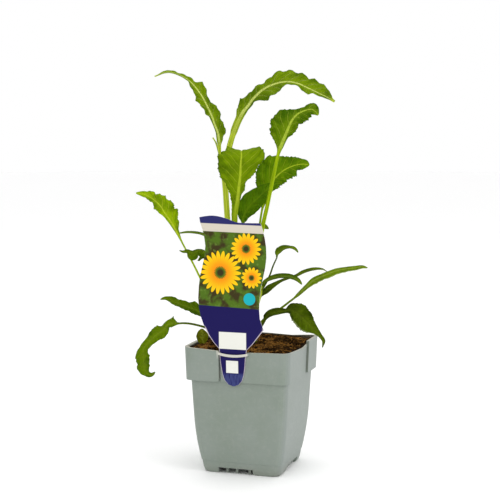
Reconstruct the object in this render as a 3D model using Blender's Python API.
# A young coneflower in its square nursery pot, with its label in the pot's rim.
# The origin is on the ground under the middle of the pot. The label is on the -Y side.
# Constants are in millimetres. Meshes are in metres.

import math
import random

import bmesh
import bpy
from mathutils import Vector

MM = 0.001
GAP = 0.3                      # clear distance between pieces that touch

# Pot
POT_HEIGHT = 127.5
COLLAR_HEIGHT = 31.5
COLLAR_HALF = 52.4             # half width over the foot of the collar's set back part
SHELL_PROUD = 2.0              # how far the two proud corners stand out from it
SHELL_SUNK = 3.1               # thickness of a proud corner, sunk into the collar
SHELL_RISE = 0.4
COLLAR_FLARE = 1.3             # the collar is this much wider at the rim, on each side
COLLAR_WALL = 1.7
BODY_WALL = 1.6
CORNER_RADIUS = 8.0
CORNER_STEPS = 5
SIDE_STEPS = 4
FRONT_ARM = 36.5               # a proud corner's reach along the front or the back
SIDE_ARM = 39.5                # and along the side
SHELL_ROUND = 3.0              # rounding of a proud corner's lower ends
GROOVE_WIDTH = 1.4
GROOVE_DEPTH = 1.0
GROOVE_TOP = 4.5               # below the rim
BODY_PROFILE = ((0.0, 38.6), (1.2, 40.0), (5.0, 41.2), (12.0, 42.2), (12.4, 42.7),
                (20.0, 44.2), (31.0, 46.0), (41.0, 47.2), (52.0, 48.2), (75.0, 49.4),
                (96.0, 50.5))  # height and half width of the outer wall
FOOT_WALL = 2.0

# The thin rim isn't level
RIM_LEFT_LIFT = 1.2
RIM_BACK_RIGHT_LIFT = -0.8
RIM_FRONT_DIP = 1.5
RIM_FRONT_DIP_PLACE = -4.0
RIM_FRONT_DIP_WIDTH = 26.0
RIM_RIGHT_DIP = 3.0
RIM_RIGHT_DIP_PLACE = -5.0
RIM_RIGHT_DIP_WIDTH = 22.0
FLOOR_LOW = 7.5
FLOOR_TOP = 9.0
NOTCH_WIDTH = 36.0
NOTCH_HEIGHT = 6.0
NOTCH_OFFSET = 5.0             # a notch's middle, off the middle of its side
NOTCH_RIB = 2.6
NOTCH_RIB_PLACES = (-10.0, 0.0, 13.5)
DRAIN_RADIUS = 4.0
DRAIN_REACH = 20.0

# Strip that holds the label against the collar
STRIP_LEFT = -20.0
STRIP_RIGHT = 13.4
STRIP_HEIGHT = 2.4
STRIP_BOW = 3.2
STRIP_DIP = 1.6
STRIP_THICK = 1.2
STRIP_STEPS = 14

# Soil
SOIL_TOP = 125.0               # at the edge, where the rim is level
SOIL_MOUND = 1.5
SOIL_RINGS = 11
SOIL_LUMP = 1.3
HOLE_CLEAR = 0.45
HOLE_SIDES = 8

# Label: height above the ground, left edge and right edge
LABEL_THICK = 0.6
LABEL_LEAN = 0.025
LABEL_BOW = 2.0
LABEL_OUTLINE = ((92.5, -4.3, -1.8), (94.0, -8.6, 2.0), (98.0, -12.2, 5.8), (104.0, -14.4, 7.8),
                 (112.0, -15.8, 9.0), (120.0, -16.8, 9.6), (129.5, -17.4, 11.0),
                 (135.0, -22.8, 16.6), (143.0, -28.6, 22.9), (150.0, -32.0, 28.4),
                 (153.0, -33.5, 27.3), (161.0, -36.3, 24.6), (169.0, -38.0, 23.9),
                 (179.0, -38.9, 24.1), (191.0, -38.2, 25.4), (201.0, -37.0, 27.6),
                 (211.0, -34.6, 29.7), (221.0, -32.6, 30.8), (231.0, -31.9, 30.3),
                 (239.0, -33.2, 28.9), (247.0, -35.3, 26.8), (253.0, -37.6, 24.6))
LABEL_TOP = ((-38.8, 258.5), (-33.0, 259.6), (-25.6, 260.4), (-17.8, 259.6), (-9.0, 257.4),
             (-2.0, 254.8), (6.0, 254.0), (23.8, 254.2))

# The plant stands turned from the pot, a little off its middle: across is to the right, away
# is to the back.
PLANT_TURN = math.radians(17.5)
PLANT_ACROSS = 0.7
PLANT_UP = 1.0
BLADE_THICK = 0.7
TOOTH_PITCH = 7.5
STEM_STEP = 11.0

FRONT = (0.0, -1.0, 0.0)
FRONT_UP = (0.0, -0.75, 0.65)
MOSTLY_UP = (0.0, -0.5, 0.85)
UP = (0.0, 0.0, 1.0)
BACK_UP = (0.0, 0.7, 0.7)
FRONT_DOWN = (0.0, -1.0, -0.25)
INWARD = (0.45, -0.8, 0.3)
OUTWARD = (-0.35, -0.9, 0.2)

# Each row is a point of the midrib (across, away, up), the blade's width to the left and to
# the right of it, and the way the upper face looks. A width of 0 is bare stalk.
TALL_STEM = ((-14, 6, 108, 0, 0, FRONT), (-14, 6, 120, 0, 0, FRONT), (-18, 8, 150, 0, 0, FRONT),
             (-21, 10, 195, 0, 0, FRONT), (-26.2, 12, 250, 0, 0, FRONT),
             (-28.2, 13, 280, 0, 0, FRONT), (-29.8, 13.5, 297, 0, 0, FRONT))
TALL_LEFT_LEAF = ((-29, 13, 284, 0, 0, INWARD), (-32, 13, 306, 0, 0, INWARD),
                  (-34, 13, 318, 0, 0, INWARD), (-34.5, 13, 329, 3, 3.3, INWARD),
                  (-36, 13, 339, 2.4, 8.8, INWARD), (-39, 12.5, 347, 2, 9.1, INWARD),
                  (-42, 12, 356, 3.4, 9.7, INWARD), (-44.5, 11, 361.5, 6.4, 8.6, INWARD),
                  (-48, 10, 369, 7.8, 5.7, INWARD), (-51.5, 9, 375.5, 8.4, 5.7, INWARD),
                  (-54.5, 8, 380, 7.8, 8.1, INWARD), (-57.5, 7, 384, 5.8, 10, FRONT_UP),
                  (-60, 6, 387, 5.4, 4, FRONT_UP), (-65, 4, 391.8, 3, 4.4, MOSTLY_UP),
                  (-70, 2, 395, 3.4, 4.2, MOSTLY_UP), (-75, 0, 397.4, 3.4, 4, MOSTLY_UP),
                  (-81.5, -4, 399.4, 2.8, 3, MOSTLY_UP), (-88.5, -8, 399, 2.2, 2.2, MOSTLY_UP),
                  (-97.5, -12, 395, 0.7, 0.7, UP))
TALL_RIGHT_LEAF = ((-27.5, 14, 284, 0, 0, FRONT), (-27.2, 14.5, 302, 0, 0, FRONT),
                   (-25, 15, 321.5, 0, 0, FRONT), (-19.6, 16, 340, 5, 4.2, FRONT),
                   (-14.2, 16, 353, 5.2, 4, FRONT), (-9.6, 15.5, 361, 8, 3.6, FRONT_UP),
                   (-5, 15, 366.5, 12.2, 3.4, FRONT_UP), (-2, 14.5, 371, 8.4, 4.2, FRONT_UP),
                   (2, 13.5, 375.5, 6.4, 6.4, FRONT_UP), (5, 13, 378.5, 6.9, 12, FRONT_UP),
                   (9, 12, 382, 7.2, 15.6, FRONT_UP), (16, 10.5, 386, 8.2, 16.4, FRONT_UP),
                   (24.5, 9, 389, 11, 13.4, FRONT_UP), (28.5, 8.5, 389.8, 12.6, 6, FRONT_UP),
                   (35, 7, 390.3, 15, 4.7, FRONT_UP), (41, 6, 389.5, 12.3, 4.5, FRONT_UP),
                   (47, 5, 387.7, 10.8, 4, FRONT_UP), (51.5, 4, 385.5, 9.6, 6, FRONT_UP),
                   (55, 3, 383.8, 12.9, 8, FRONT_UP), (59, 2, 382, 12.6, 8, FRONT_UP),
                   (66, -1, 378.5, 9.6, 3.8, FRONT_UP), (73, -7, 375, 5.6, 2.8, FRONT_UP),
                   (80, -12, 370.5, 0.7, 0.7, FRONT_UP))
TALL_BRACT = ((-31, 12.5, 300, 0, 0, INWARD), (-34.5, 12, 317, 1.2, 1.2, INWARD),
              (-37.5, 12, 328, 1.2, 1.2, INWARD), (-41, 11, 334, 0.5, 0.5, INWARD))
BROAD_FRONT_LEAF = ((-14, -6, 108, 0, 0, FRONT), (-14, -6, 120, 0, 0, FRONT),
                    (-15, -12, 160, 0, 0, FRONT), (-17.5, -19, 215, 0, 0, FRONT),
                    (-18, -22, 253, 5.2, 2.4, FRONT), (-17.5, -22, 262, 5.4, 2.4, FRONT),
                    (-16, -22, 271, 6.4, 2.6, FRONT), (-15, -22, 279, 8.6, 3.2, FRONT),
                    (-14.6, -22, 283.5, 10.8, 6.4, FRONT), (-14.2, -22, 287.5, 13.6, 6.2, FRONT),
                    (-13.6, -22, 291.5, 18, 5.6, FRONT), (-13.2, -21.5, 295.5, 20.2, 10, FRONT),
                    (-12.8, -20.5, 302, 22.2, 15, FRONT), (-12.6, -18.5, 309, 22.8, 19.2, FRONT),
                    (-12, -16, 316, 23, 24, FRONT_UP), (-12, -11, 321, 18, 21, MOSTLY_UP),
                    (-12, -5, 322, 14, 17, UP), (-12, 1, 319, 9, 10, BACK_UP),
                    (-11, 5.5, 315, 0.7, 0.7, BACK_UP))
BROAD_BACK_LEAF = ((-3, 9, 108, 0, 0, FRONT), (-3, 9, 120, 0, 0, FRONT), (0, 16, 165, 0, 0, FRONT),
                   (4, 24, 215, 0, 0, FRONT), (7, 28, 247, 0, 0, FRONT),
                   (10, 30, 264, 2.2, 2, FRONT), (12, 31, 271, 7, 3.2, FRONT),
                   (14.5, 32, 279.5, 12, 5, FRONT), (18, 32.5, 286, 19.2, 8.6, FRONT),
                   (22.5, 33.3, 292, 21.4, 10.4, FRONT), (27.5, 34, 297, 21.8, 10.8, FRONT),
                   (32, 35.2, 300.2, 17.4, 10.6, FRONT), (37, 36.6, 302.7, 11.8, 11, FRONT),
                   (41, 37.8, 304.2, 10.2, 11.2, FRONT), (43.5, 38.5, 305, 9, 5.8, FRONT),
                   (50, 40, 306, 5.8, 6, FRONT), (55, 41.5, 305.6, 4.4, 3.6, FRONT),
                   (58, 42.5, 305, 0.8, 0.8, FRONT))
OVAL_LEAF = ((-6, 1, 108, 0, 0, FRONT_DOWN), (-6, 1, 120, 0, 0, FRONT_DOWN),
             (-8, 2, 170, 0, 0, FRONT_DOWN), (-9, 2, 220, 0, 0, FRONT_DOWN),
             (-10.6, 2, 246, 0, 0, FRONT_DOWN), (-10.4, 2.3, 250.5, 2.8, 3.6, FRONT_DOWN),
             (-9.4, 3, 255.5, 7, 5.4, FRONT_DOWN), (-6, 4, 262.3, 11, 8.8, FRONT_DOWN),
             (-1, 6, 268.3, 12.8, 9.6, FRONT_DOWN), (5.7, 9, 274.2, 10.6, 8.8, FRONT_DOWN),
             (12.8, 12, 280.5, 7.4, 6.5, FRONT_DOWN), (20, 14.5, 285.5, 3.6, 3.6, FRONT_DOWN),
             (25, 16, 288, 0.7, 0.7, FRONT_DOWN))
UPRIGHT_RIGHT_LEAF = ((-4, -6.5, 108, 0, 0, FRONT), (-4, -6.5, 120, 0, 0, FRONT),
                      (-1, -6, 160, 0, 0, FRONT), (4, -5, 205, 0, 0, FRONT),
                      (8.6, -4, 241, 0, 0, FRONT), (14.3, -6, 268, 0, 0, FRONT),
                      (20.8, -8, 300, 0, 0, FRONT), (24.2, -9, 316, 1.5, 1.5, FRONT),
                      (27.2, -9, 325, 5, 2.4, FRONT), (29.5, -9, 331, 12, 2.8, FRONT),
                      (31.5, -9, 336, 17.4, 3.4, FRONT), (33, -9, 339.5, 16.8, 6, FRONT),
                      (35, -8, 344.5, 20, 8.6, FRONT), (38, -7, 351, 16.4, 7.8, FRONT),
                      (41.5, -5, 355.5, 10.4, 10, FRONT), (45, -3, 358.5, 4.6, 10.8, FRONT),
                      (52, 1, 361.5, 3.6, 9.6, FRONT), (58.5, 4, 362.5, 7, 6.2, FRONT),
                      (62.5, 6, 360, 4.6, 4, FRONT), (65, 8, 357, 0.7, 0.7, FRONT))
HIGH_LEFT_LEAF = ((-24, -3, 108, 0, 0, FRONT_UP), (-24, -3, 120, 0, 0, FRONT_UP),
                  (-35, -4, 152, 0, 0, FRONT_UP), (-53, -4, 191.5, 0, 0, FRONT_UP),
                  (-64, -4.5, 214, 0, 0, FRONT_UP), (-76.4, -5, 238, 1.2, 2.6, FRONT_UP),
                  (-79, -5, 243, 1.8, 4.4, FRONT_UP), (-82.5, -5, 249.4, 2.6, 8.8, FRONT_UP),
                  (-85.5, -5.5, 254, 3, 12.2, FRONT_UP), (-88.7, -6, 258.6, 3.6, 11.8, FRONT_UP),
                  (-91.5, -6, 263.5, 6.6, 12, FRONT_UP), (-94.5, -6, 267.6, 7.4, 10.6, FRONT_UP),
                  (-98.7, -6, 271.5, 4.6, 8.6, FRONT_UP), (-104.8, -7, 275.9, 3.8, 6, FRONT_UP),
                  (-111, -7, 278.4, 3.6, 3.2, FRONT_UP), (-117.5, -8, 279.2, 0.7, 0.7, FRONT_UP))
THREAD_LEAF = ((-21, 11, 108, 0, 0, UP), (-21, 11, 120, 0, 0, UP), (-24, 15, 160, 0, 0, UP),
               (-29, 19, 203.5, 0, 0, MOSTLY_UP), (-33, 20, 222, 0, 0, MOSTLY_UP),
               (-41, 19, 230.5, 2.2, 2.2, MOSTLY_UP), (-50.5, 18, 234.8, 2.6, 2.6, MOSTLY_UP),
               (-57.5, 15, 237, 2.4, 2.4, MOSTLY_UP), (-67.5, 10, 238.2, 1.8, 1.8, MOSTLY_UP),
               (-77.5, 6, 237.2, 0.6, 0.6, MOSTLY_UP))
FOLDED_LEAF = ((-30, -8, 108, 0, 0, FRONT), (-30, -8, 120, 0, 0, FRONT),
               (-34, -9, 160, 0, 0, FRONT), (-39, -10, 195, 0, 0, FRONT),
               (-43, -11, 211, 0, 0, FRONT), (-46, -12, 217.5, 6, 2.2, FRONT),
               (-49.5, -13, 220.6, 11, 1.8, FRONT), (-52.5, -13.5, 222.2, 11, 1.2, FRONT),
               (-56.5, -14.8, 221.8, 4.6, 1.8, FRONT), (-61, -17, 220.4, 8.4, 2, FRONT),
               (-66, -18, 222.2, 2.6, 1.6, FRONT), (-70, -19, 221.4, 1.2, 1.2, FRONT),
               (-73.6, -20, 222.7, 0.6, 0.6, FRONT))
LOW_LEFT_LEAF = ((-30, 3, 108, 0, 0, FRONT_UP), (-30, 3, 120, 0, 0, FRONT_UP),
                 (-33, 4, 131, 0, 0, FRONT_UP), (-41, 4, 145.5, 0, 0, FRONT_UP),
                 (-47, 4, 151.5, 2.6, 2.4, FRONT_UP), (-52, 4, 155.4, 4.6, 3.2, FRONT_UP),
                 (-57, 3.8, 158.8, 6, 4.8, FRONT_UP), (-61.5, 3.4, 160.8, 6.6, 8, FRONT_UP),
                 (-66.5, 2.6, 162.6, 5.2, 5.4, FRONT_UP), (-74.6, 1, 165.7, 4.4, 4.6, FRONT_UP),
                 (-82, -1, 169.2, 4, 4.6, FRONT_UP), (-88.5, -4, 171.9, 1.8, 2.6, FRONT_UP),
                 (-93.7, -7, 171.6, 0.7, 0.7, FRONT_UP))
DROOPING_LEAF = ((-24, -13, 108, 0, 0, FRONT_UP), (-24, -13, 120, 0, 0, FRONT_UP),
                 (-32, -15, 131.5, 0, 0, FRONT_UP), (-41, -18, 140.5, 0, 0, FRONT_UP),
                 (-48.5, -20, 145.2, 0, 0, FRONT_UP), (-61, -23, 149, 0, 0, FRONT_UP),
                 (-69.5, -26, 150.4, 0, 0, FRONT_UP), (-75.7, -28, 150.3, 1.4, 2, FRONT_UP),
                 (-79, -29.5, 150.8, 3.2, 8, FRONT_UP), (-82, -30.5, 151, 4.4, 4.6, FRONT),
                 (-85.4, -31, 149.4, 3, 3.8, FRONT), (-88.5, -31.5, 146, 5.6, 3.6, FRONT),
                 (-91.5, -32, 143.2, 6.8, 7.8, FRONT), (-96.8, -33, 139.7, 6.4, 7, FRONT),
                 (-102.7, -34, 133.8, 4.4, 4.8, FRONT), (-108, -35, 128, 4.8, 4, OUTWARD),
                 (-109.6, -36, 122, 6.8, 7.2, OUTWARD), (-108.9, -36, 113.5, 7.4, 7.8, OUTWARD),
                 (-108.2, -36, 106, 5.2, 6.8, OUTWARD), (-104.9, -35, 100.7, 2.6, 3.2, OUTWARD),
                 (-101, -34, 100, 2, 2, OUTWARD), (-98, -34, 102.5, 0.7, 0.7, OUTWARD))
ROUND_LEAF = ((-44, -12, 108, 0, 0, FRONT), (-45, -12, 118, 0, 0, FRONT),
              (-49, -12, 125, 0, 0, FRONT), (-51, -12, 130, 5, 5, FRONT),
              (-51.5, -11.5, 135, 6.5, 6.5, FRONT), (-52, -10.5, 139, 4.5, 4.5, FRONT),
              (-52, -9, 142, 0.7, 0.7, FRONT))
SIDE_STEM = ((0, 3, 108, 0, 0, FRONT), (0, 3, 120, 0, 0, FRONT), (1, 4, 140, 0, 0, FRONT),
             (3.5, 6, 160, 0, 0, FRONT), (6.8, 8, 173.5, 0, 0, FRONT),
             (9.2, 8, 183, 0, 0, FRONT))
SIDE_SPOON_LEAF = ((8.2, 8, 178, 0, 0, FRONT), (16, 9, 192.2, 0, 0, FRONT),
                   (20, 9, 203.4, 0, 0, FRONT), (23.6, 9, 211.4, 0, 0, FRONT),
                   (25, 10, 215.8, 3.6, 1, FRONT), (27, 10.4, 217.8, 5.6, 1.2, FRONT),
                   (31.2, 11, 221.2, 4, 1.2, FRONT), (37.4, 12, 222.5, 1.6, 1.2, FRONT),
                   (42.5, 13, 221, 1.8, 1.8, FRONT_UP), (45.8, 14, 217, 0.6, 0.6, FRONT_UP))
SIDE_ARCHED_LEAF = ((9.2, 7.5, 177, 0, 0, MOSTLY_UP), (11, 5.5, 187, 2.6, 3, MOSTLY_UP),
                    (19, 3, 192.2, 3.8, 5, MOSTLY_UP), (27, 0, 194.4, 4, 4.6, MOSTLY_UP),
                    (37, -3, 194.3, 3.6, 4, MOSTLY_UP), (44.5, -6, 191.4, 2.8, 2.8, MOSTLY_UP),
                    (49, -8, 187, 0.6, 0.6, MOSTLY_UP))
SIDE_LONG_LEAF = ((5.6, 7, 168, 0, 0, FRONT_UP), (8.6, 11, 174, 1.4, 2.4, FRONT_UP),
                  (12, 13, 177, 2.8, 4, FRONT_UP), (16, 14.5, 180.3, 3.4, 4, FRONT_UP),
                  (21.2, 16.5, 183.6, 2.4, 3, FRONT_UP), (28.5, 20, 187.2, 1.4, 2, FRONT_UP),
                  (36, 24, 189.4, 1.4, 1.8, FRONT_UP), (44, 28.5, 191, 2, 2, MOSTLY_UP),
                  (52.6, 33, 194.8, 2.6, 2.6, MOSTLY_UP), (63, 39, 196.8, 2.6, 2.6, MOSTLY_UP),
                  (72, 44, 196.2, 1.8, 1.8, MOSTLY_UP), (77.3, 47.5, 193.4, 0.6, 0.6, MOSTLY_UP))
LONG_RIGHT_LEAF = ((1.5, -2.5, 108, 0, 0, FRONT_UP), (1.5, -2.5, 120, 0, 0, FRONT_UP),
                   (3.8, -3, 140, 0, 0, FRONT_UP), (11.5, -2.5, 151.3, 0, 0, FRONT_UP),
                   (19.5, -1, 156.2, 0, 0, FRONT_UP), (28, 1, 161.3, 0, 0, FRONT_UP),
                   (36, 1.5, 167.4, 0, 0, FRONT_UP),
                   (44.4, 2, 173.9, 2.2, 1.8, FRONT_UP), (54, 3, 183, 2.3, 2.7, FRONT_UP),
                   (61.7, 4, 189.8, 2.9, 5.4, FRONT_UP), (73, 5, 194.8, 2.8, 5.5, FRONT_UP),
                   (84, 6, 199, 2.6, 5.4, FRONT_UP), (93.3, 7, 201, 2, 4.6, FRONT_UP),
                   (102.6, 8, 202, 2, 4, FRONT_UP), (111, 9, 203, 1.6, 2.6, FRONT_UP),
                   (116.4, 10, 201.7, 0.7, 0.7, FRONT_UP))
TWISTED_RIGHT_LEAF = ((-3.5, -13, 108, 0, 0, FRONT), (-3.5, -13, 120, 0, 0, FRONT),
                      (-0.5, -13.5, 132, 0, 0, FRONT), (6.5, -14, 142.5, 0, 0, FRONT),
                      (10.5, -14.6, 149.5, 1, 1, FRONT), (13.2, -16, 155, 3.6, 2.2, FRONT),
                      (17.7, -18, 158.9, 4.4, 3, FRONT), (24.7, -20, 161.4, 4, 3.4, FRONT),
                      (32.6, -21.5, 162.5, 1.8, 2.6, FRONT), (35.5, -22, 163.2, 4.6, 3.8, FRONT),
                      (38.5, -22.8, 163, 7.8, 6, FRONT), (43.6, -24, 160.4, 11, 9, FRONT),
                      (50.5, -26.5, 154.7, 10, 10.4, FRONT), (54.5, -28, 151, 7.4, 10.6, FRONT),
                      (58.5, -29.6, 147, 5, 8, FRONT), (62.3, -31, 142.9, 3.6, 3.4, FRONT),
                      (66.2, -33, 138.7, 2.4, 1.8, FRONT), (69.6, -34, 133.8, 2, 1.6, FRONT),
                      (68.5, -35, 127.5, 0.6, 0.6, FRONT))
YOUNG_LEAF = ((-12, 15, 108, 0, 0, FRONT), (-12, 15, 120, 0, 0, FRONT), (-10, 17, 169, 0, 0, FRONT),
              (-6, 18, 208.5, 0, 0, FRONT), (-3, 18, 226, 0, 0, FRONT),
              (1, 17, 236, 3, 3, FRONT_UP), (6, 15.5, 242, 4.5, 4.5, FRONT_UP),
              (11, 13.5, 243.5, 3.5, 3.5, FRONT_UP), (15.5, 12, 241.5, 0.6, 0.6, FRONT_UP))

# Node name: rows, stalk radius, fold of the blade, height and length of the edge's waves, tooth
LEAF_NODES = {
    "leaf_broad_front": ((BROAD_FRONT_LEAF, 3.6, 0.10, 1.3, 21.0, 0.9),),
    "leaf_broad_back": ((BROAD_BACK_LEAF, 1.8, 0.12, 1.3, 19.0, 0.9),),
    "leaf_oval": ((OVAL_LEAF, 1.8, 0.15, 0.6, 26.0, 0.0),),
    "leaf_upright_right": ((UPRIGHT_RIGHT_LEAF, 3.0, 0.12, 1.4, 18.0, 0.8),),
    "leaf_high_left": ((HIGH_LEFT_LEAF, 1.4, 0.15, 0.9, 16.0, 0.9),),
    "leaf_thread": ((THREAD_LEAF, 1.1, 0.20, 0.2, 20.0, 0.0),),
    "leaf_folded": ((FOLDED_LEAF, 1.1, 0.30, 0.5, 15.0, 0.4),),
    "leaf_low_left": ((LOW_LEFT_LEAF, 1.4, 0.20, 0.6, 17.0, 0.5),),
    "leaf_drooping": ((DROOPING_LEAF, 1.4, 0.20, 0.8, 15.0, 0.9),),
    "leaf_round": ((ROUND_LEAF, 1.0, 0.15, 0.3, 14.0, 0.3),),
    "leaf_long_right": ((LONG_RIGHT_LEAF, 1.5, 0.30, 0.5, 15.0, 0.6),),
    "leaf_twisted_right": ((TWISTED_RIGHT_LEAF, 1.5, 0.15, 0.7, 16.0, 0.6),),
    "leaf_young": ((YOUNG_LEAF, 1.0, 0.20, 0.3, 16.0, 0.3),),
    "shoot_tall": ((TALL_STEM, 2.9, 0.0, 0.0, 20.0, 0.0),
                   (TALL_LEFT_LEAF, 1.9, 0.15, 1.3, 15.0, 0.9),
                   (TALL_RIGHT_LEAF, 3.4, 0.15, 1.3, 19.0, 0.8),
                   (TALL_BRACT, 0.7, 0.0, 0.0, 20.0, 0.0)),
    "shoot_side": ((SIDE_STEM, 1.7, 0.0, 0.0, 20.0, 0.0),
                   (SIDE_SPOON_LEAF, 0.8, 0.20, 0.3, 14.0, 0.3),
                   (SIDE_ARCHED_LEAF, 1.0, 0.25, 0.3, 18.0, 0.3),
                   (SIDE_LONG_LEAF, 0.9, 0.20, 0.4, 17.0, 0.4)),
}

# Colour, roughness
POT_PLASTIC = ("pot_plastic", (0.262, 0.308, 0.291), 0.45)
SOIL_EARTH = ("soil_earth", (0.060, 0.026, 0.008), 0.95)
LABEL_PLASTIC = ("label_plastic", (0.018, 0.013, 0.090), 0.30)
LEAF_GREENS = {
    "leaf_broad_front": (0.165, 0.270, 0.010),
    "leaf_broad_back": (0.100, 0.230, 0.005),
    "leaf_oval": (0.045, 0.140, 0.006),
    "leaf_folded": (0.060, 0.160, 0.008),
    "leaf_twisted_right": (0.060, 0.130, 0.004),
}
LEAF_GREEN = (0.140, 0.290, 0.008)
LEAF_ROUGHNESS = 0.5


def clear_scene():
    for thing in list(bpy.data.objects):
        bpy.data.objects.remove(thing, do_unlink=True)


def make_material(name, colour, roughness):
    material = bpy.data.materials.new(name)
    material.use_nodes = True
    shader = material.node_tree.nodes["Principled BSDF"]
    shader.inputs["Base Color"].default_value = (*colour, 1.0)
    shader.inputs["Roughness"].default_value = roughness
    shader.inputs["Metallic"].default_value = 0.0
    return material


def make_object(name, points, faces):
    """A closed mesh from points in millimetres."""
    mesh = bpy.data.meshes.new(name)
    mesh.from_pydata([tuple(c * MM for c in p) for p in points], [], faces)
    mesh.validate()
    thing = bpy.data.objects.new(name, mesh)
    bpy.context.collection.objects.link(thing)
    build = bmesh.new()
    build.from_mesh(mesh)
    bmesh.ops.recalc_face_normals(build, faces=build.faces)
    build.to_mesh(mesh)
    build.free()
    return thing


def boolean(target, others, operation):
    """Fuse the other objects to the target, or cut them from it, and remove them."""
    group = bpy.data.collections.new(target.name + "_tools")
    for other in others:
        group.objects.link(other)
        other.hide_render = True
        other.display_type = "WIRE"
    modifier = target.modifiers.new(operation.lower(), "BOOLEAN")
    modifier.operation = operation
    modifier.solver = "EXACT"
    modifier.operand_type = "COLLECTION"
    modifier.collection = group
    shaped = bpy.data.meshes.new_from_object(
        target.evaluated_get(bpy.context.evaluated_depsgraph_get()))
    target.modifiers.clear()
    target.data = shaped
    for other in others:
        bpy.data.objects.remove(other, do_unlink=True)
    bpy.data.collections.remove(group)


def loft(rings, name):
    """Join rings with the same number of points and close both ends."""
    count = len(rings[0])
    points = [p for ring in rings for p in ring]
    faces = []
    for row in range(len(rings) - 1):
        for column in range(count):
            right = (column + 1) % count
            a = row * count + column
            b = row * count + right
            faces.append((a, b, b + count))
            faces.append((a, b + count, a + count))
    faces.append(tuple(range(count)))
    faces.append(tuple(range((len(rings) - 1) * count, len(rings) * count)))
    return make_object(name, points, faces)


def box(name, low, high):
    x0, y0, z0 = low
    x1, y1, z1 = high
    rings = [[(x0, y0, z), (x1, y0, z), (x1, y1, z), (x0, y1, z)] for z in (z0, z1)]
    return loft(rings, name)


def square_outline(half):
    """Rounded square, anticlockwise from the front right corner."""
    outline = []
    reach = half - CORNER_RADIUS
    for corner in range(4):
        turn = corner * math.pi / 2
        places = []
        for step in range(CORNER_STEPS + 1):
            angle = -math.pi / 2 + step / CORNER_STEPS * math.pi / 2
            places.append((reach + CORNER_RADIUS * math.cos(angle),
                           CORNER_RADIUS * math.sin(angle) - reach))
        for step in range(1, SIDE_STEPS):
            places.append((half, 2.0 * reach * step / SIDE_STEPS - reach))
        for x, y in places:
            outline.append((x * math.cos(turn) - y * math.sin(turn),
                            x * math.sin(turn) + y * math.cos(turn)))
    return outline


def square_ring(half, z):
    return [(x, y, z) for x, y in square_outline(half)]


def body_half(z):
    """Half width of the pot's outer wall at a height."""
    for (z0, h0), (z1, h1) in zip(BODY_PROFILE, BODY_PROFILE[1:]):
        if z <= z1:
            return h0 + (h1 - h0) * (z - z0) / (z1 - z0)
    return BODY_PROFILE[-1][1]


def collar_half(z):
    """Half width of the collar's set back part at a height."""
    return COLLAR_HALF + COLLAR_FLARE * (z - POT_HEIGHT + COLLAR_HEIGHT) / COLLAR_HEIGHT


def rim_lift(x, y):
    """How far the rim stands above its level height: high on the left, with two dips."""
    half = COLLAR_HALF + COLLAR_FLARE
    left = max(0.0, -x / half)
    right = max(0.0, x / half)
    back = (y / half + 1.0) / 2.0
    front_edge = RIM_LEFT_LIFT * left ** 2
    back_edge = RIM_LEFT_LIFT + (RIM_BACK_RIGHT_LIFT - RIM_LEFT_LIFT) * right
    front_dip = math.exp(-((x - RIM_FRONT_DIP_PLACE) / RIM_FRONT_DIP_WIDTH) ** 2)
    right_dip = math.exp(-((y - RIM_RIGHT_DIP_PLACE) / RIM_RIGHT_DIP_WIDTH) ** 2)
    return (front_edge + (back_edge - front_edge) * back
            - RIM_FRONT_DIP * front_dip * (1.0 - back) ** 2
            - RIM_RIGHT_DIP * right_dip * right ** 2)


def rim_ring(half):
    return [(x, y, POT_HEIGHT + rim_lift(x, y)) for x, y in square_outline(half)]


def make_pot():
    collar_low = POT_HEIGHT - COLLAR_HEIGHT
    rim_half = collar_half(POT_HEIGHT)
    rings = [square_ring(body_half(FLOOR_LOW) - FOOT_WALL, FLOOR_LOW),
             square_ring(BODY_PROFILE[0][1] - FOOT_WALL, 0.0)]
    rings += [square_ring(half, z) for z, half in BODY_PROFILE]
    rings += [square_ring(COLLAR_HALF, collar_low), rim_ring(rim_half),
              rim_ring(rim_half - COLLAR_WALL)]
    rings += [square_ring(half - BODY_WALL, z) for z, half in reversed(BODY_PROFILE)
              if z > FLOOR_TOP + 5.0]
    rings.append(square_ring(body_half(FLOOR_TOP) - BODY_WALL, FLOOR_TOP))
    pot = loft(rings, "pot")
    boolean(pot, pot_additions(), "UNION")
    boolean(pot, pot_cuts(), "DIFFERENCE")
    return pot


def half_turn(points):
    return [(-x, -y, z) for x, y, z in points]


def shell_sections():
    """Sections of the proud front left corner, from the front's middle round to the side."""
    shell_half = COLLAR_HALF + SHELL_PROUD
    centre = shell_half - CORNER_RADIUS
    low = POT_HEIGHT - COLLAR_HEIGHT
    path = []
    front_run = FRONT_ARM - CORNER_RADIUS
    side_run = SIDE_ARM - CORNER_RADIUS
    ends = (0.0, 0.4, 1.0, 1.9, SHELL_ROUND)
    for s in ends + (front_run / 3, front_run * 2 / 3):
        path.append((front_run - s, 0.0, s))
    for step in range(CORNER_STEPS + 1):
        path.append((0.0, step / CORNER_STEPS * math.pi / 2, front_run))
    for s in (side_run * 2 / 3, side_run / 3) + ends[::-1]:
        path.append((side_run - s, math.pi / 2, s))
    sections = []
    for run, angle, from_end in path:
        section = []
        drop = max(0.0, SHELL_ROUND - from_end)
        z_low = low + SHELL_ROUND - math.sqrt(SHELL_ROUND ** 2 - drop ** 2)
        for depth, at_rim in ((0.0, False), (0.0, True), (SHELL_SUNK, True), (SHELL_SUNK, False)):
            radius = CORNER_RADIUS - depth + (COLLAR_FLARE if at_rim else 0.0)
            x = -centre - radius * math.sin(angle) + (run if angle == 0.0 else 0.0)
            y = -centre - radius * math.cos(angle) + (run if angle > 0.0 else 0.0)
            z = POT_HEIGHT + SHELL_RISE + rim_lift(x, y) if at_rim else z_low
            section.append((x, y, z))
        sections.append(section)
    return sections


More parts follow.
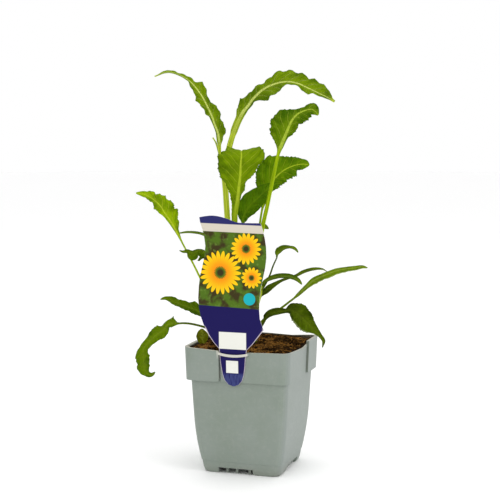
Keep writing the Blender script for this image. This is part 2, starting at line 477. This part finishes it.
def strip_sections():
    """Sections of the strip, which bows out from the collar and dips in its middle."""
    sections = []
    for step in range(STRIP_STEPS + 1):
        u = -math.cos(step / STRIP_STEPS * math.pi)
        bulge = math.sqrt(max(0.0, 1.0 - u ** 6))
        x = (STRIP_LEFT + STRIP_RIGHT) / 2 + u * (STRIP_RIGHT - STRIP_LEFT) / 2
        outer = -collar_half(POT_HEIGHT) - STRIP_BOW * bulge
        thick = STRIP_THICK + 0.6 * (1.0 - bulge)
        top = POT_HEIGHT + rim_lift(x, outer) - STRIP_DIP * (1.0 - u ** 2)
        sections.append([(x, outer, top - STRIP_HEIGHT), (x, outer, top),
                         (x, outer + thick, top), (x, outer + thick, top - STRIP_HEIGHT)])
    return sections


def notch_middle(side):
    """The notches of facing sides are each other's half turn, and those beside are mirrored."""
    return -NOTCH_OFFSET if side % 2 == 0 else NOTCH_OFFSET


def pot_additions():
    sections = shell_sections()
    parts = [loft(sections, "shell_front"),
             loft([half_turn(section) for section in sections], "shell_back"),
             loft(strip_sections(), "strip")]
    reach = body_half(0.0) - FOOT_WALL
    for side in range(4):
        for place in NOTCH_RIB_PLACES:
            x = notch_middle(side) + place
            rib = box("rib", (x - NOTCH_RIB / 2, -reach, 0.6),
                      (x + NOTCH_RIB / 2, 6.0 - reach, FLOOR_LOW + 0.5))
            rib.rotation_euler.z = side * math.pi / 2
            parts.append(rib)
    return parts


def groove_rings():
    """Slots in the collar along the two ends of the front left proud corner."""
    levels = (POT_HEIGHT - COLLAR_HEIGHT - 1.0, POT_HEIGHT - GROOVE_TOP)
    shell_half = COLLAR_HALF + SHELL_PROUD
    front = []
    side = []
    for z in levels:
        outer = -collar_half(z) - SHELL_PROUD / 2
        inner = GROOVE_DEPTH - collar_half(z)
        x0 = FRONT_ARM - shell_half
        x1 = x0 + GROOVE_WIDTH
        y0 = SIDE_ARM - shell_half
        y1 = y0 + GROOVE_WIDTH
        front.append([(x0, outer, z), (x1, outer, z), (x1, inner, z), (x0, inner, z)])
        side.append([(outer, y0, z), (inner, y0, z), (inner, y1, z), (outer, y1, z)])
    return front, side


def pot_cuts():
    cuts = []
    for rings in groove_rings():
        cuts.append(loft(rings, "groove"))
        cuts.append(loft([half_turn(ring) for ring in rings], "groove"))
    for side in range(4):
        reach = BODY_PROFILE[0][1] - FOOT_WALL
        x = notch_middle(side)
        notch = box("notch", (x - NOTCH_WIDTH / 2, -reach - 20.0, -1.0),
                    (x + NOTCH_WIDTH / 2, -reach - 0.2, NOTCH_HEIGHT))
        notch.rotation_euler.z = side * math.pi / 2
        cuts.append(notch)
    for place in range(5):
        angle = math.pi / 4 + place * math.pi / 2
        reach = DRAIN_REACH if place < 4 else 0.0
        bpy.ops.mesh.primitive_cylinder_add(
            vertices=16, radius=DRAIN_RADIUS * MM, depth=8 * MM,
            location=(reach * math.cos(angle) * MM, reach * math.sin(angle) * MM,
                      FLOOR_TOP * MM))
        cuts.append(bpy.context.object)
    return cuts


def place_in_pot_frame(across, away, up):
    return Vector((across * math.cos(PLANT_TURN) - away * math.sin(PLANT_TURN),
                   across * math.sin(PLANT_TURN) + away * math.cos(PLANT_TURN), up))


def read_rows(rows):
    """Midrib point, widths and facing of each row, turned into the pot's frame."""
    keys = []
    for across, away, up, left, right, facing in rows:
        keys.append((place_in_pot_frame(across + PLANT_ACROSS, away, up + PLANT_UP),
                     left, right, place_in_pot_frame(*facing)))
    return keys


def between(values, index, part):
    """Catmull-Rom value between values[index] and the next one."""
    last = len(values) - 1
    p0 = values[max(index - 1, 0)]
    p1 = values[index]
    p2 = values[min(index + 1, last)]
    p3 = values[min(index + 2, last)]
    return 0.5 * (2.0 * p1 + (p2 - p0) * part + (2.0 * p0 - 5.0 * p1 + 4.0 * p2 - p3) * part ** 2
                  + (3.0 * p1 - p0 - 3.0 * p2 + p3) * part ** 3)


def stations_along(rows, radius):
    """Stations along a leaf: close together in the blade, far apart in the stalk."""
    keys = read_rows(rows)
    points = [key[0] for key in keys]
    lefts = [key[1] for key in keys]
    rights = [key[2] for key in keys]
    faces = [key[3] for key in keys]
    fine = 24
    dense = []
    length = 0.0
    for index in range(len(keys) - 1):
        for step in range(fine + (index == len(keys) - 2)):
            part = step / fine
            point = between(points, index, part)
            if dense:
                length += (point - dense[-1][1]).length
            left = max(lefts[index] * (1 - part) + lefts[index + 1] * part, 0.0)
            right = max(rights[index] * (1 - part) + rights[index + 1] * part, 0.0)
            facing = faces[index].lerp(faces[index + 1], part)
            dense.append((length, point, left, right, facing))
    stations = [dense[0]]
    for item in dense[1:-1]:
        in_blade = item[2] + item[3] > 2.6 * radius
        step = TOOTH_PITCH / 2 if in_blade else STEM_STEP
        if item[0] - stations[-1][0] >= step and dense[-1][0] - item[0] > 0.6 * step:
            stations.append(item)
    stations.append(dense[-1])
    return stations


def leaf_section(point, along, facing, left, right, radius, lift_left, lift_right, fold):
    """Ten points round a section: round in the stalk, a thin fold in the blade."""
    normal = (facing - along * facing.dot(along)).normalized()
    side = along.cross(normal)
    width = (left + right) / 2
    flat = min(max((width - 0.9 * radius) / (1.6 * radius), 0.0), 1.0)
    flat = flat * flat * (3.0 - 2.0 * flat)
    upper = []
    lower = []
    columns = ((-1.0, left, lift_left), (-0.45, left, 0.2 * lift_left), (0.0, 0.0, 0.0),
               (0.45, right, 0.2 * lift_right), (1.0, right, lift_right))
    for column, (share, reach, lift) in enumerate(columns):
        x = share * max(reach, BLADE_THICK)
        height = fold * abs(x) + lift
        angle = math.radians(162 - 36 * column)
        round_x = radius * math.cos(angle)
        round_z = radius * math.sin(angle)
        under = -BLADE_THICK if column != 2 else -BLADE_THICK - 0.9 * radius
        top = (x * flat + round_x * (1 - flat), height * flat + round_z * (1 - flat))
        low = (x * flat + round_x * (1 - flat), (height + under) * flat - round_z * (1 - flat))
        upper.append(point + side * top[0] + normal * top[1])
        lower.append(point + side * low[0] + normal * low[1])
    return upper + lower[::-1]


def leaf_faces(count):
    """Triangles of a leaf, split the same way on the upper and the lower face."""
    faces = []
    for row in range(count - 1):
        base = row * 10
        for column in range(10):
            a = base + column
            b = base + (column + 1) % 10
            if column < 4:
                faces += [(a, b, b + 10), (a, b + 10, a + 10)]
            elif 5 <= column < 9:
                faces += [(a, b, a + 10), (b, b + 10, a + 10)]
            else:
                faces += [(a, b, b + 10), (a, b + 10, a + 10)]
    last = (count - 1) * 10
    faces.append(tuple(range(10)))
    for column in range(4):
        faces.append((last + column, last + column + 1, last + 8 - column, last + 9 - column))
    return faces


def make_leaf(name, rows, radius, fold, wave, wave_length, tooth):
    stations = stations_along(rows, radius)
    points = []
    total = stations[-1][0]
    for index, (length, point, left, right, facing) in enumerate(stations):
        before = stations[max(index - 1, 0)][1]
        after = stations[min(index + 1, len(stations) - 1)][1]
        along = (after - before).normalized()
        near_tip = min(1.0, (total - length) / 12.0)
        in_blade = min(max(min(left, right) / 4.0 - 0.4, 0.0), 1.0) * near_tip
        cut = tooth * in_blade * (1 if index % 2 else -1)
        phase = 2 * math.pi * length / wave_length
        thin = max(radius * (1.0 - 0.6 * length / total), 0.45)
        base = thin if wave or tooth else radius
        points += leaf_section(point, along, facing, left + cut, right - cut, base,
                               wave * in_blade * math.sin(phase),
                               wave * in_blade * math.sin(phase + 2.1), fold)
    return make_object(name, points, leaf_faces(len(stations)))


def make_plant_node(name, leaves):
    parts = []
    for number, (rows, radius, fold, wave, wave_length, tooth) in enumerate(leaves):
        part_name = name if number == 0 else name + "_part"
        parts.append(make_leaf(part_name, rows, radius, fold, wave, wave_length, tooth))
    node = parts[0]
    if parts[1:]:
        boolean(node, parts[1:], "UNION")
    return node


def soil_height(x, y, lumps):
    share = max(abs(x), abs(y)) / COLLAR_HALF
    height = SOIL_TOP + rim_lift(x, y) + SOIL_MOUND * (1.0 - share ** 2)
    for cx, cy, size, rise in lumps:
        height += rise * math.exp(-((x - cx) ** 2 + (y - cy) ** 2) / size ** 2)
    return height


def make_soil():
    """Soil that fills the pot, with a lumpy top."""
    chance = random.Random(4)
    lumps = [(chance.uniform(-44, 44), chance.uniform(-44, 44), chance.uniform(4, 8),
              chance.uniform(-SOIL_LUMP, SOIL_LUMP)) for _ in range(46)]
    top_half = collar_half(SOIL_TOP) - COLLAR_WALL - GAP - 0.6
    levels = [z for z, _ in BODY_PROFILE if z > FLOOR_TOP + 5.0]
    rings = [square_ring(body_half(FLOOR_TOP) - BODY_WALL - GAP, FLOOR_TOP + GAP)]
    rings += [square_ring(body_half(z) - BODY_WALL - GAP, z) for z in levels]
    for step in range(SOIL_RINGS):
        share = 1.0 - step / SOIL_RINGS
        ring = []
        for x, y in square_outline(top_half):
            jitter = chance.uniform(-0.5, 0.5) if step else 0.0
            ring.append((x * share, y * share,
                         soil_height(x * share, y * share, lumps) + jitter))
        rings.append(ring)
    return loft(rings, "soil")


def make_stalk_hole(rows, radius):
    """A hole in the soil that follows a stalk's foot with a little room round it."""
    points = [key[0] for key in read_rows(rows)]
    clear = (radius + HOLE_CLEAR) / math.cos(math.pi / HOLE_SIDES)
    middles = [points[0] - Vector((0.0, 0.0, 0.8)), points[1]]
    part = 0.0
    while middles[-1].z < SOIL_TOP + SOIL_MOUND + RIM_LEFT_LIFT + 3.0:
        part += 0.04
        above = between(points, 1 + int(part), part - int(part))
        if above.z > middles[-1].z + 4.0:
            middles.append(above)
    rings = []
    for index, middle in enumerate(middles):
        run = middles[min(index + 1, len(middles) - 1)] - middles[max(index - 1, 0)]
        reach = clear / run.normalized().z
        rings.append([(middle.x + reach * math.cos(corner * 2 * math.pi / HOLE_SIDES),
                       middle.y + reach * math.sin(corner * 2 * math.pi / HOLE_SIDES),
                       middle.z) for corner in range(HOLE_SIDES)])
    return loft(rings, "hole")


def label_depth(z):
    """Back face of the label at a height: along the collar, then bowed and leaning back."""
    above = max(0.0, z - POT_HEIGHT)
    span = LABEL_TOP[2][1] - POT_HEIGHT
    return (LABEL_LEAN * above - LABEL_BOW * math.sin(math.pi * above / span)
            - collar_half(min(z, POT_HEIGHT)) - GAP)


def make_label():
    """One sheet with a waved outline, from the tongue's tip up to the arched top."""
    rows = [((left, z), (right, z)) for z, left, right in LABEL_OUTLINE]
    columns = len(LABEL_TOP)
    grid = []
    for (left, z), (right, _) in rows:
        grid.append([(left + (right - left) * c / (columns - 1), z) for c in range(columns)])
    grid.append(list(LABEL_TOP))
    rings = []
    for line in grid:
        front = [(x, label_depth(z) - LABEL_THICK, z) for x, z in line]
        back = [(x, label_depth(z), z) for x, z in reversed(line)]
        rings.append(front + back)
    return loft(rings, "plant_label")


def main():
    clear_scene()
    pot = make_pot()
    pot.data.materials.clear()
    pot.data.materials.append(make_material(*POT_PLASTIC))
    soil = make_soil()
    holes = [make_stalk_hole(leaves[0][0], leaves[0][1]) for leaves in LEAF_NODES.values()]
    boolean(soil, holes, "DIFFERENCE")
    soil.data.materials.clear()
    soil.data.materials.append(make_material(*SOIL_EARTH))
    label = make_label()
    label.data.materials.append(make_material(*LABEL_PLASTIC))
    for name, leaves in LEAF_NODES.items():
        node = make_plant_node(name, leaves)
        colour = LEAF_GREENS.get(name, LEAF_GREEN)
        node.data.materials.clear()
        node.data.materials.append(make_material(name + "_green", colour, LEAF_ROUGHNESS))
    for thing in bpy.data.objects:
        thing.data.shade_smooth()
        thing.data.set_sharp_from_angle(angle=math.radians(35))


main()
